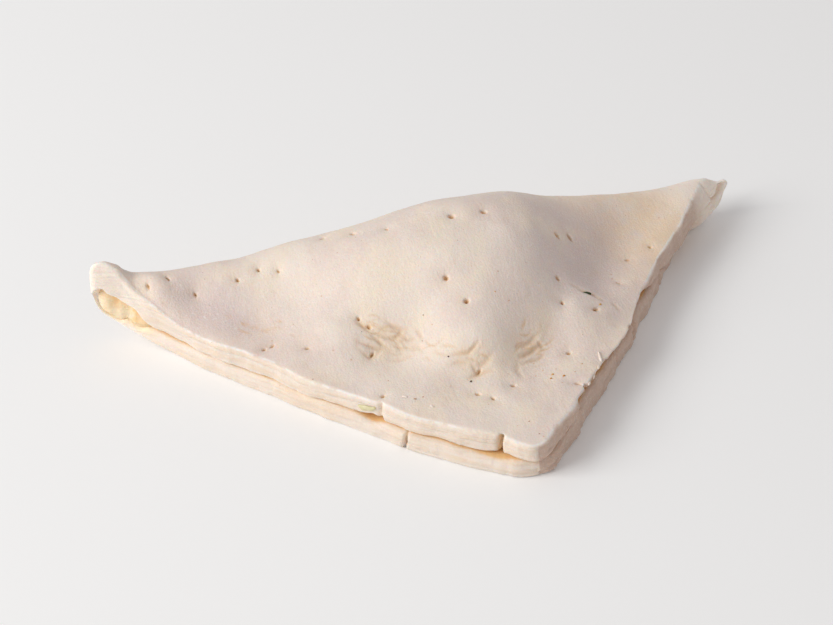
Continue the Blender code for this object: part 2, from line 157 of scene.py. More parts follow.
# Pricked holes: x, y, width, length, turn of the length, depth. The places were measured on the leaf from
# points in the photograph
PRICKS = [
    (-65.1, -6.9, 0.9, 1.9, -55, 1.5), (-60.4, -6.4, 0.9, 2.1, -60, 1.7), (-55.5, -10.1, 0.95, 1.5, -50, 1.5),
    (-46.2, -10.6, 1.1, 1.5, -40, 1.6), (-41.4, -9.9, 1.1, 1.4, -40, 1.6), (-37.5, -11.9, 0.9, 1.4, -60, 1.1),
    (-26.1, -7.2, 1.3, 1.6, 0, 1.8), (-20.0, -9.8, 1.4, 1.9, -50, 1.8), (-13.2, -12.9, 1.0, 1.1, -40, 1.2),
    (0.8, -15.3, 1.8, 2.3, -15, 2.6), (8.0, -15.8, 1.6, 2.1, -30, 2.4), (23.6, -21.0, 1.5, 2.3, -60, 2.4),
    (26.9, -20.2, 1.4, 2.4, -60, 2.3), (-5.3, -29.5, 1.5, 1.9, -40, 2.4), (-2.8, -35.8, 1.7, 2.0, 0, 2.6),
    (19.9, -31.3, 1.3, 1.6, -45, 2.0), (18.8, -36.8, 1.2, 1.4, 80, 1.9), (25.7, -39.2, 1.3, 2.6, 10, 2.0),
    (46.3, -21.3, 1.1, 1.4, -30, 1.6), (39.7, -23.6, 0.9, 1.9, -10, 1.2), (-24.7, -29.4, 1.1, 1.5, -60, 1.8),
    (-23.1, -31.9, 1.1, 1.9, -55, 1.8), (-24.1, -37.4, 0.95, 2.1, 35, 1.8), (-45.1, -27.9, 0.9, 1.6, 20, 1.4),
    (-43.2, -27.6, 0.9, 1.9, 25, 1.5), (-36.7, -31.7, 0.8, 1.8, -20, 1.3), (-25.5, -49.3, 1.0, 1.9, 20, 1.6),
    (-4.5, -49.2, 1.0, 1.7, 30, 1.7), (-6.7, -54.5, 1.0, 1.8, -30, 1.8), (-4.2, -56.7, 1.15, 1.7, -70, 1.8),
    (1.2, -54.2, 1.15, 1.8, -10, 1.9), (15.8, -48.2, 1.25, 1.7, 0, 2.1), (13.9, -57.9, 0.8, 2.1, -25, 1.4),
    (34.8, -30.5, 0.6, 1.3, -40, 0.8),
]

# Creases of the upper leaf: depth (below 0 for a raised pleat), width, and the points that it runs through,
# which were measured in the same way
CREASES = [
    (0.22, 0.38, [(-22.6, -33.2), (-21.3, -34.0), (-19.9, -34.3)]),
    (0.34, 0.42, [(-20.5, -34.8), (-18.7, -35.4), (-17.8, -35.3), (-17.0, -35.0)]),
    (0.28, 0.38, [(-17.2, -35.4), (-16.1, -36.6), (-14.4, -37.2)]),
    (0.30, 0.42, [(-19.4, -32.1), (-18.1, -33.4), (-17.2, -34.1), (-15.6, -34.8)]),
    (0.20, 0.40, [(-13.8, -36.0), (-13.2, -38.0)]),
    (0.32, 0.45, [(-23.0, -33.9), (-21.6, -35.6), (-20.9, -36.0)]),
    (0.28, 0.38, [(-26.4, -34.5), (-24.4, -35.6), (-23.0, -36.3), (-20.8, -36.8)]),
    (0.20, 0.40, [(-27.0, -35.4), (-25.7, -37.1), (-24.8, -38.1), (-23.6, -37.8), (-21.9, -36.8)]),
    (0.35, 0.60, [(-25.1, -29.9), (-24.4, -31.1), (-23.4, -32.4)]),
    (0.34, 0.40, [(-8.8, -44.9), (-7.0, -45.3), (-5.7, -45.6), (-4.5, -45.2), (-3.2, -44.5)]),
    (0.16, 0.60, [(-10.0, -46.2), (-8.0, -46.6), (-5.4, -47.2)]),
    (0.22, 0.60, [(-4.3, -48.2), (-2.7, -47.9), (-0.9, -46.8)]),
    (0.30, 0.45, [(-7.2, -50.2), (-5.0, -49.7), (-1.8, -49.7)]),
    (0.20, 0.40, [(-5.0, -49.7), (-5.6, -47.8)]),
    (0.32, 0.45, [(5.2, -45.3), (7.2, -44.8), (8.7, -44.2), (9.9, -43.3)]),
    (-0.30, 0.70, [(4.8, -46.4), (7.1, -45.7), (9.2, -44.9), (10.7, -43.8), (11.8, -42.6)]),
    (0.36, 0.45, [(5.2, -47.2), (6.7, -46.7), (8.5, -46.0), (10.3, -44.9)]),
    (-0.18, 0.55, [(6.6, -47.7), (8.6, -47.7), (10.3, -46.8)]),
    (0.24, 0.42, [(5.3, -48.7), (7.1, -48.2), (8.7, -48.1), (10.4, -47.5)]),
    (0.28, 0.45, [(10.1, -44.0), (11.3, -45.5)]),
    (0.18, 0.60, [(4.4, -48.2), (3.4, -50.4), (4.0, -52.4)]),
    (0.16, 0.36, [(22.4, -32.2), (24.9, -33.2)]),
    (0.50, 0.42, [(24.1, -33.7), (25.8, -34.4), (27.4, -35.3)]),
    (0.24, 0.34, [(26.9, -35.6), (28.7, -37.0)]),
    (0.20, 0.36, [(30.2, -37.2), (31.3, -39.4)]),
    (0.14, 0.50, [(-16.0, -37.5), (-14.4, -39.0), (-13.8, -41.0)]),
    (0.14, 0.45, [(-18.4, -36.0), (-18.0, -38.2)]),
    (0.12, 0.45, [(-17.4, -36.2), (-16.2, -38.6)]),
    (0.14, 0.50, [(-21.0, -39.4), (-18.4, -40.2), (-15.6, -40.0)]),
]

# Where the dough is puckered: x, y, spread along and across, turn, depth
PUCKERS = [
    (-19.5, -35.5, 5.5, 3.0, -30, 0.05),
    (8.5, -45.5, 4.0, 2.8, 20, 0.08),
    (-5.5, -46.5, 4.5, 2.2, 8, 0.06),
]

# Fine wrinkles in bundles: centre x and y, spread along and across, turn, how much the turn fans out, amount
WRINKLES = [
    (-19.0, -35.3, 5.6, 3.0, -32, 12, 30),
    (8.8, -45.2, 3.8, 2.8, 14, 14, 20),
    (-5.0, -46.0, 3.6, 2.0, -16, 16, 6),
    (-13.0, -40.5, 4.5, 2.5, -34, 10, 7),
    (-46.0, -20.5, 7.0, 3.0, -34, 8, 10),
]

# Cracks and notches of the cut faces: side, leaf, distance from the front corner, half width, depth
NICKS = [
    ("left", "lower", 29.2, 0.55, 1.6), ("left", "upper", 8.8, 0.9, 2.0), ("left", "upper", 35.4, 0.8, 0.8),
    ("right", "upper", 22.0, 0.9, 1.2), ("right", "upper", 31.6, 0.8, 1.0),
    ("right", "lower", 48.5, 0.9, 1.0), ("right", "upper", 44.5, 0.8, 0.7),
    ("right", "lower", 38.0, 0.8, 0.6), ("right", "lower", 70.0, 0.7, 0.5),
    ("right", "upper", 97.5, 0.7, 0.7), ("right", "upper", 90.0, 0.7, 0.5),
]

# Flakes on the dough: x, y, length, width, thickness and turn. Most places were measured in the same way
PEPPER = [(-7.0, -50.9, 0.55, 0.45, 0.25, 40), (-9.8, -44.7, 0.38, 0.32, 0.2, 0)]
HUSKS = [(6.2, -37.1, 0.28, 0.22, 0.12, 0), (0.1, -65.9, 0.35, 0.22, 0.14, 30),
         (0.8, -69.8, 0.28, 0.22, 0.1, 0), (-19.6, -52.5, 0.7, 0.3, 0.16, -20),
         (-11.8, -34.0, 0.3, 0.24, 0.12, 0), (-13.4, -38.2, 0.24, 0.2, 0.1, 0),
         (-23.2, -45.6, 0.24, 0.2, 0.1, 0), (5.8, -31.2, 0.24, 0.2, 0.1, 0),
         (33.8, -28.8, 0.25, 0.2, 0.1, 0), (-17.9, -52.4, 0.4, 0.25, 0.12, 25),
         (-37.8, -40.1, 0.3, 0.2, 0.12, 0), (52.0, -13.0, 0.3, 0.2, 0.12, 0)]
PAPRIKA = [(12.0, -55.0, 0.6, 0.5, 0.25, 10), (9.2, -54.8, 0.5, 0.4, 0.2, 30),
           (10.0, -53.7, 0.6, 0.4, 0.22, 20), (27.1, -37.9, 0.8, 0.4, 0.22, 30),
           (17.0, -52.6, 0.35, 0.25, 0.14, 0), (14.6, -54.6, 0.3, 0.2, 0.12, 0),
           (11.3, -52.3, 0.25, 0.2, 0.1, 0), (8.7, -51.5, 0.25, 0.2, 0.1, 0),
           (3.8, -35.1, 0.3, 0.25, 0.12, 0)]
HERB = [(25.3, -34.5, 2.0, 0.8, 0.7, -26)]
SCRAPS = [(21.5, -51.5, 3.2, 0.6, 0.5, 82), (16.2, -58.4, 1.3, 0.5, 0.4, 50),
          (18.0, -56.6, 1.6, 0.5, 0.35, 40), (20.0, -54.4, 1.4, 0.6, 0.35, 62),
          (-21.4, -51.2, 1.2, 0.5, 0.3, -40), (-17.0, -55.6, 1.0, 0.4, 0.3, -48)]

# The yellow-green bit in the left cut face: distance from the front corner, how far down the face it sits,
# and its length, height and thickness
OLIVE_PLACE = 38.6
OLIVE_STATION = 0.45
OLIVE_SIZE = (4.2, 1.3, 0.8)

# The finest specks: how many on a square metre, smallest and largest width, seed, and how far the dough there
# has to face up. They are drawn face by face, and the order of the faces can differ from run to run, so a few
# specks come and go although the seed is fixed
DUST_AMOUNT = 14000
DUST_WIDTHS = (0.10, 0.24)
DUST_SEED = 4
DUST_FACING = 0.45

# The photograph's view: the place aimed at in millimetres, the angles in degrees and the distance in metres.
# Then the lights and the floor, in metres
VIEW_AIM = (-7.2, -15.4)
VIEW_TURN, VIEW_RISE = -18.1, 39.1
VIEW_DISTANCE = 0.4
SENSOR_WIDTH = 36
IMAGE_WIDTH = 833
FOCAL_PIXELS = 1785.6
KEY_PLACE = (-1.21, -0.02, 0.76)
KEY_SIZE = 0.8
KEY_POWER = 14.8
KEY_COLOUR = (0.97, 0.975, 0.96)
SKY_COLOUR = (1.0, 0.975, 0.975, 1)
SKY_STRENGTH = 0.49
FLOOR_HALF = 2.5
FLOOR_DROP = 0.00005


def through(knots, x):
    """A smooth curve through the knots, each a place and the value there, which nowhere overshoots them."""
    places, values = np.array(knots, float).T
    x = np.clip(x, places[0], places[-1])
    i = np.clip(np.searchsorted(places, x, side="right") - 1, 0, len(places) - 2)
    rate = np.diff(values) / np.diff(places)
    before, after = rate[:-1], rate[1:]
    both = np.where(before + after == 0, 1, before + after)
    bend = np.where(before * after > 0, 2 * before * after / both, 0)
    slope = np.concatenate([rate[:1], bend, rate[-1:]])
    span = places[i + 1] - places[i]
    t = (x - places[i]) / span
    rise = t * t * (3 - 2 * t)
    return (values[i] * (1 - rise) + values[i + 1] * rise
            + span * (slope[i] * t * (1 - t) ** 2 - slope[i + 1] * t * t * (1 - t)))


def ease(x, start, end):
    """0 before start, 1 after end, smooth between them."""
    t = np.clip((x - start) / (end - start), 0, 1)
    return t * t * (3 - 2 * t)


def lumps(x, y, z, size, seed=0):
    """Smooth noise from -1 to 1, with lumps of about this size in millimetres."""
    at = np.stack(np.broadcast_arrays(x, y, z), -1).astype(float) / size + 7.13 * seed + 300
    cell = np.floor(at).astype(np.int64)
    share = at - cell
    blend = share ** 3 * (share * (share * 6 - 15) + 10)
    total = 0
    for corner in np.ndindex(2, 2, 2):
        spot = cell + corner
        mixed = spot[..., 0] * 374761393 + spot[..., 1] * 668265263 + spot[..., 2] * 1440662683 + seed * 40503
        mixed = ((mixed ^ (mixed >> 13)) & 0xFFFFFFFF) * 1274126177 & 0xFFFFFFFF
        value = ((mixed ^ (mixed >> 16)) & 65535) / 32767.5 - 1
        total = total + value * np.prod(np.where(corner, blend, 1 - blend), axis=-1)
    return total


def turned(x, y, centre_x, centre_y, turn):
    """The plan place as seen from a centre, along and across a line turned by so many degrees."""
    angle = radians(turn)
    x, y = x - centre_x, y - centre_y
    return x * cos(angle) + y * sin(angle), y * cos(angle) - x * sin(angle)


def heap(x, y, centre_x, centre_y, height, along, across, turn, steepness):
    """A rounded heap on the plan."""
    u, v = turned(x, y, centre_x, centre_y, turn)
    return height * np.exp(-0.5 * ((u / along) ** 2 + (v / across) ** 2) ** steepness)


def underside(x):
    """Height of the underside: flat, with both ends of the fold lifted a little."""
    return 8.0 * ease(-x, 61, 82) + 3.0 * ease(x, 56, 77) ** 1.3


def topside(x, y):
    """Height of the upper leaf before it rounds over at the fold."""
    behind_shoulder = np.clip(-y - through(REACH, x), 0, None)
    falloff = np.exp(-0.5 * (behind_shoulder / through(FALL, x)) ** 2)
    z = RIM_TOP + (through(SHOULDER, x) - RIM_TOP) * falloff
    inside = ease((y + HALF_FOLD - np.abs(x)) / np.sqrt(2), 0, HEAP_MARGIN)
    for filling in HEAPS:
        z = z + heap(x, y, *filling) * inside
    for curl, side in ((LEFT_CURL, -1), (RIGHT_CURL, 1)):
        from_tip = (HALF_FOLD - side * x) * np.sqrt(2)
        from_side = np.clip((y + HALF_FOLD - side * x) / np.sqrt(2), 0, None)
        z = z + through(curl, from_tip) * np.exp(-from_side / CURL_REACH)
        z = z + 0.35 * lumps(x, y, 5 * side, 7, 3) * np.exp(-from_side / 3) * ease(from_tip, 2, 16)
    for bump in BUMPS:
        z = z + heap(x, y, *bump)
    return z


def fade(from_side, reach):
    """1 at a side, dying away within the reach; from_side is a share of the side's length."""
    return np.exp(-(np.clip(from_side, 0, None) * SIDE / reach) ** 2)


def rounded(to_left, to_right, upper):
    """The place on the leaf with its square front corner drawn in to a round one."""
    radius = np.where(upper, FRONT_ROUND_UPPER, FRONT_ROUND_LOWER) / SIDE
    u, v = radius - to_left, radius - to_right
    within = (u > 0) & (v > 0)
    pull = np.where(within, np.maximum(u, v) / np.maximum(np.hypot(u, v), 1e-9), 1)
    return np.where(within, radius - u * pull, to_left), np.where(within, radius - v * pull, to_right)


def ragged(along, coarse, fine, seed):
    """The small waves of a cut edge."""
    return coarse * lumps(along, seed, 0, 4.5, seed) + fine * lumps(along, seed, 0, 1.3, seed)


def skin(s, t):
    """Outer skin of the folded square of dough, whose two sides s and t run from 0 to 1.

    The lower leaf has s + t below 1, and the upper leaf is folded back over it along s + t = 1.
    """
    upper = s + t > 1
    to_left, to_right = rounded(np.where(upper, 1 - t, s), np.where(upper, 1 - s, t), upper)
    x = (to_right - to_left) * HALF_FOLD
    from_fold = (1 - to_left - to_right) * HALF_FOLD
    reach = through(REACH, x)
    roll = reach * np.pi / 2
    turn = np.clip(1 - from_fold / roll, 0, 1) * np.pi / 2
    flat = reach + (from_fold - roll) * (HALF_FOLD - reach) / (HALF_FOLD - roll)
    y = -np.where(from_fold < roll, reach * (1 - np.sin(turn)), flat)
    at_side = np.clip(fade(to_right, 22) + fade(to_left, 22), 0, 1)
    at_side = at_side * ease(from_fold, 0.5 * roll, 2 * roll)
    y = y * (1 - at_side) - from_fold * at_side
    share = 0.5 + np.where(upper, 0.5, -0.5) * np.cos(turn)
    along_left, along_right = to_left * SIDE, to_right * SIDE
    left = through(LEFT_UPPER, along_left) * share + through(LEFT_LOWER, along_left) * (1 - share)
    right = through(RIGHT_UPPER, along_right) * share + through(RIGHT_LOWER, along_right) * (1 - share)
    left_fade = fade(to_right, 16)
    right_fade = fade(to_left, 16)
    settle = ease(from_fold, 0, 9)
    left_wave = ragged(along_left, 0.16, 0.07, 11) * share
    left_wave = left_wave + ragged(along_left, 0.16, 0.08, 12) * (1 - share)
    right_wave = ragged(along_right, 0.14, 0.10, 13) * share
    right_wave = right_wave + ragged(along_right, 0.26, 0.18, 14) * (1 - share)
    left = left * left_fade + left_wave * fade(to_right, 3) * settle
    right = right * right_fade + right_wave * fade(to_left, 3) * settle
    x, y = x + (right - left) / np.sqrt(2), y - (right + left) / np.sqrt(2)
    middle = 0.5 * (topside(x, -reach) + underside(x))
    side_height = np.where(upper, topside(x, y), underside(x))
    # The fold gets squarer towards the left tip
    squareness = 1 - 0.5 * ease(-x, 64, 73)
    return np.stack([x, y, middle + (side_height - middle) * np.cos(turn) ** squareness], -1)


def rim_place(walk):
    """Round the square's edge, walk runs from 0 to 4: s, t, distance from the front corner, side, leaf.

    The side is above 0 on the left and below 0 on the right. The leaf is 1 for the upper one and -1 for the
    lower one.
    """
    s = np.interp(walk, [0, 1, 2, 3, 4], [0, 1, 1, 0, 0])
    t = np.interp(walk, [0, 1, 2, 3, 4], [0, 0, 1, 1, 0])
    from_front = np.interp(walk, [0, 1, 2, 3, 4], [0, 1, 0, 1, 0]) * SIDE
    side = np.interp(walk, [0, 1, 2, 3, 4], [0, 1, 0, -1, 0]) * SIDE
    leaf = np.clip(np.interp(walk, [0, 1, 2, 3, 4], [-1, 0, 1, 0, -1]) * SIDE, -1, 1)
    return s, t, from_front, side, leaf


def by_side(side, left_knots, right_knots, from_front):
    """A value along the cut sides, passing smoothly from the left to the right one at the front corner."""
    left = ease(side, -3, 3)
    return through(left_knots, from_front) * left + through(right_knots, from_front) * (1 - left)


def nicks(side, from_front, leaf, height):
    """How deep the cracks and notches bite into the cut faces here."""
    bite = 0
    for where, which, place, half_width, depth in NICKS:
        on_side = side > 0 if where == "left" else side < 0
        on_leaf = leaf > 0 if which == "upper" else leaf < 0
        wander = 0.35 * lumps(place, height, 0, 1.6, 5)
        far = np.abs(from_front - place - wander) / half_width
        bite = bite + np.where(on_side & on_leaf, depth * np.clip(1 - far, 0, 1) ** 1.3, 0)
    return bite


def cut_face(walk, station):
    """A point of the cut faces: station runs from 0 at the skin to 1 at the gap between the leaves."""
    s, t, from_front, side, leaf = rim_place(walk)
    edge = skin(s, t)
    half_gap = by_side(side, LEFT_GAP, RIGHT_GAP, from_front) / 2
    half_gap = half_gap * (1 + 0.35 * lumps(from_front, side > 0, leaf, 2.5, 6))
    lip_height = by_side(side, LEFT_MEETING, RIGHT_MEETING, from_front) + leaf * half_gap
    high = np.maximum(np.abs(edge[:, 2] - lip_height), 0.05)
    upper = 0.5 + leaf / 2
    rounds = [np.minimum(at_upper * upper + at_lower * (1 - upper), 0.4 * high)
              for at_upper, at_lower in zip(UPPER_ROUNDS, LOWER_ROUNDS)]
    first = np.clip(station / 0.3, 0, 1) * np.pi / 2
    last = np.clip((station - 0.6) / 0.4, 0, 1) * np.pi / 2
    straight = (high - rounds[0] - rounds[1]) * np.clip((station - 0.3) / 0.3, 0, 1)
    deep = (rounds[0] * (1 - np.cos(first)) + straight + rounds[1] * np.sin(last)) / high
    slant = by_side(side, LEFT_SLANT, RIGHT_SLANT, from_front) * upper
    out = rounds[0] * np.sin(first) - rounds[1] * (1 - np.cos(last)) + slant * deep
    level = deep * high
    settle = ease(SIDE - from_front, 0, 6)
    rough = 1 + 0.9 * (side < 0)
    layers = 0.13 * lumps(from_front * 0.22, level + 9 * leaf, side > 0, 0.8, 7)
    layers = layers + 0.16 * lumps(from_front, level + 9 * leaf, side > 0, 2.6, 8)
    layers = layers + 0.06 * lumps(from_front, level + 9 * leaf, side > 0, 0.7, 9)
    out = out + layers * rough * ease(station, 0.05, 0.35) * settle
    out = out - nicks(side, from_front, leaf, level) * ease(station, 0, 0.15)
    angle = np.radians(45) * np.clip(side / FRONT_ROUND_LOWER, -1, 1)
    x, y = edge[:, 0] - np.sin(angle) * out, edge[:, 1] - np.cos(angle) * out
    return np.stack([x, y, edge[:, 2] + (lip_height - edge[:, 2]) * deep], -1)


def in_mouth(from_front, side):
    """1 in the open mouth at the left tip, 0 away from it."""
    return ease(from_front, 90, 94) * ease(SIDE - from_front, 0.5, 3) * (side > 0)


def groove(walk, station):
    """A point of the gap between the leaves: station runs from 0 at the cut face to 1, where they meet.

    In the mouth at the left tip the lower leaf swells up to the upper one.
    """
    lip, facing_lip = cut_face(walk, 1.0), cut_face((2 - walk) % 4, 1.0)
    from_front, side, leaf = rim_place(walk)[2:5]
    angle = np.radians(45) * np.clip(side / FRONT_ROUND_LOWER, -1, 1)
    swollen = in_mouth(from_front, side)
    depth = np.minimum(GROOVE_DEPTH, 0.4 + 0.5 * (SIDE - from_front)) * (1 - swollen) + 1.3 * swollen
    meeting = 0.5 * (lip + facing_lip)
    meeting += (np.where(leaf[:, None] > 0, lip, facing_lip) - meeting) * 0.85 * swollen[:, None]
    point = lip + (meeting - lip) * ease(station, 0, 1) ** 1.6
    swell = 1.1 + 0.5 * lumps(from_front, 2.2 * station, 0, 1.5, 15)
    inward = depth * station - swell * np.sin(np.pi * station) * swollen * (leaf < 0)
    point[:, 0] += np.sin(angle) * inward
    point[:, 1] += np.cos(angle) * inward
    return point


FACE_STATIONS = [0.1, 0.2, *np.linspace(0.3, 0.6, 9), 0.68, 0.76, 0.84, 0.92, 1.0]
GROOVE_STATIONS = [0.12, 0.3, 0.5, 0.7, 0.86, 1.0]


def folded_dough():
    """The pastry as one closed body: skin, cut faces and the groove between the leaves.

    Each vertex keeps its place round the edge in the layer walk, and its ring in the layer ring: 0 on the
    skin, up to 1 on the cut faces, up to 2 in the groove. The layer upper holds s + t, above 1 on the upper
    leaf.
    """
    bm = bmesh.new()
    walk_of = bm.verts.layers.float.new("walk")
    ring_of = bm.verts.layers.float.new("ring")
    upper_of = bm.verts.layers.float.new("upper")
    bmesh.ops.create_grid(bm, x_segments=GRID, y_segments=GRID, size=0.5)
    verts = list(bm.verts)
    s, t = (np.array([v.co[axis] for v in verts]) + 0.5 for axis in (0, 1))
    walk = np.where(t < 1e-6, s, np.where(s > 1 - 1e-6, 1 + t, np.where(t > 1 - 1e-6, 3 - s, 4 - t)))
    for vert, point, place, share in zip(verts, skin(s, t), walk, s + t):
        vert.co = point
        vert[walk_of] = place
        vert[upper_of] = share
    edges = [edge for edge in bm.edges if edge.is_boundary]
    rings = [(cut_face, station, station) for station in FACE_STATIONS]
    rings += [(groove, station, 1 + station) for station in GROOVE_STATIONS]
    for surface, station, ring_value in rings:
        grown = bmesh.ops.extrude_edge_only(bm, edges=edges)["geom"]
        edges = [part for part in grown if isinstance(part, bmesh.types.BMEdge)]
        ring = [part for part in grown if isinstance(part, bmesh.types.BMVert)]
        for vert, point in zip(ring, surface(np.array([v[walk_of] for v in ring]), station)):
            vert.co = point
            vert[ring_of] = ring_value
    bmesh.ops.remove_doubles(bm, verts=[v for v in bm.verts if v[ring_of] > 1.9], dist=0.01)
    bmesh.ops.recalc_face_normals(bm, faces=bm.faces)
    return bm


def refine_details(bm):
    """Finer faces round each pricked hole and in the wrinkled places."""
    edges = list(bm.edges)
    x, y, z = np.array([(edge.verts[0].co + edge.verts[1].co) / 2 for edge in edges]).T
    near = np.zeros(len(edges), bool)
    for px, py, _, length, *_ in PRICKS:
        near |= (x - px) ** 2 + (y - py) ** 2 < (0.5 * length + 0.5) ** 2
    for wx, wy, along, across, turn, *_ in WRINKLES[:FINE_BUNDLES]:
        near |= heap(x, y, wx, wy, 1.0, along, across, turn, 1.0) > 0.25
    chosen = [edges[i] for i in np.flatnonzero(near & (z > ABOVE_LOWER_LEAF))]
    bmesh.ops.subdivide_edges(bm, edges=chosen, cuts=1, use_grid_fill=True)


def fine_wrinkles():
    """Each fine wrinkle as its depth, width and points, drawn from a fixed seed."""
    rng = np.random.default_rng(WRINKLE_SEED)
    drawn = []
    for x, y, along, across, turn, fan, amount in WRINKLES:
        for _ in range(amount):
            u, v = rng.normal(0, 0.55, 2) * (along, across)
            angle = radians(turn + fan * v / across + rng.normal(0, 9))
            length = rng.uniform(1.2, 4.2)
            bow = rng.normal(0, 0.14) * length
            facing, middle = radians(turn), []
            for share in (-0.5, -0.2, 0.1, 0.5):
                a = share * length
                b = bow * (1 - 4 * share * share) + rng.normal(0, 0.10)
                middle.append((x + u * cos(facing) - v * sin(facing) + a * cos(angle) - b * sin(angle),
                               y + u * sin(facing) + v * cos(facing) + a * sin(angle) + b * cos(angle)))
            drawn.append((rng.uniform(0.04, 0.15), rng.uniform(0.15, 0.25), middle))
    return drawn


def crease_depth(x, y, points, width):
    """1 along the line through the points, dying away over the width, and towards its ends."""
    nearest = np.full(len(x), 1e9)
    strength = np.zeros(len(x))
    steps = len(points) - 1
    for i, (start, end) in enumerate(zip(points[:-1], points[1:])):
        run = np.subtract(end, start)
        share = np.clip(((x - start[0]) * run[0] + (y - start[1]) * run[1]) / (run @ run), 0, 1)
        far = np.hypot(x - start[0] - share * run[0], y - start[1] - share * run[1])
        whole = (i + share) / steps
        closer = far < nearest
        nearest = np.where(closer, far, nearest)
        strength = np.where(closer, np.sin(np.pi * (0.12 + 0.76 * whole)), strength)
    return strength * np.exp(-(nearest / width) ** 2)


def prick_shape(x, y, px, py, width, length, turn):
    """How deep a pricked hole goes here, as a share, and how near its dimple is."""
    u, v = turned(x, y, px, py, turn)
    far = np.sqrt((2.5 * u / length) ** 2 + (2.5 * v / width) ** 2)
    hole = ease(1.15 - far, 0, 1.05)
    dimple = np.exp(-((u / (length + 0.6)) ** 2 + (v / (width + 0.7)) ** 2) * 1.6)
    return hole, dimple


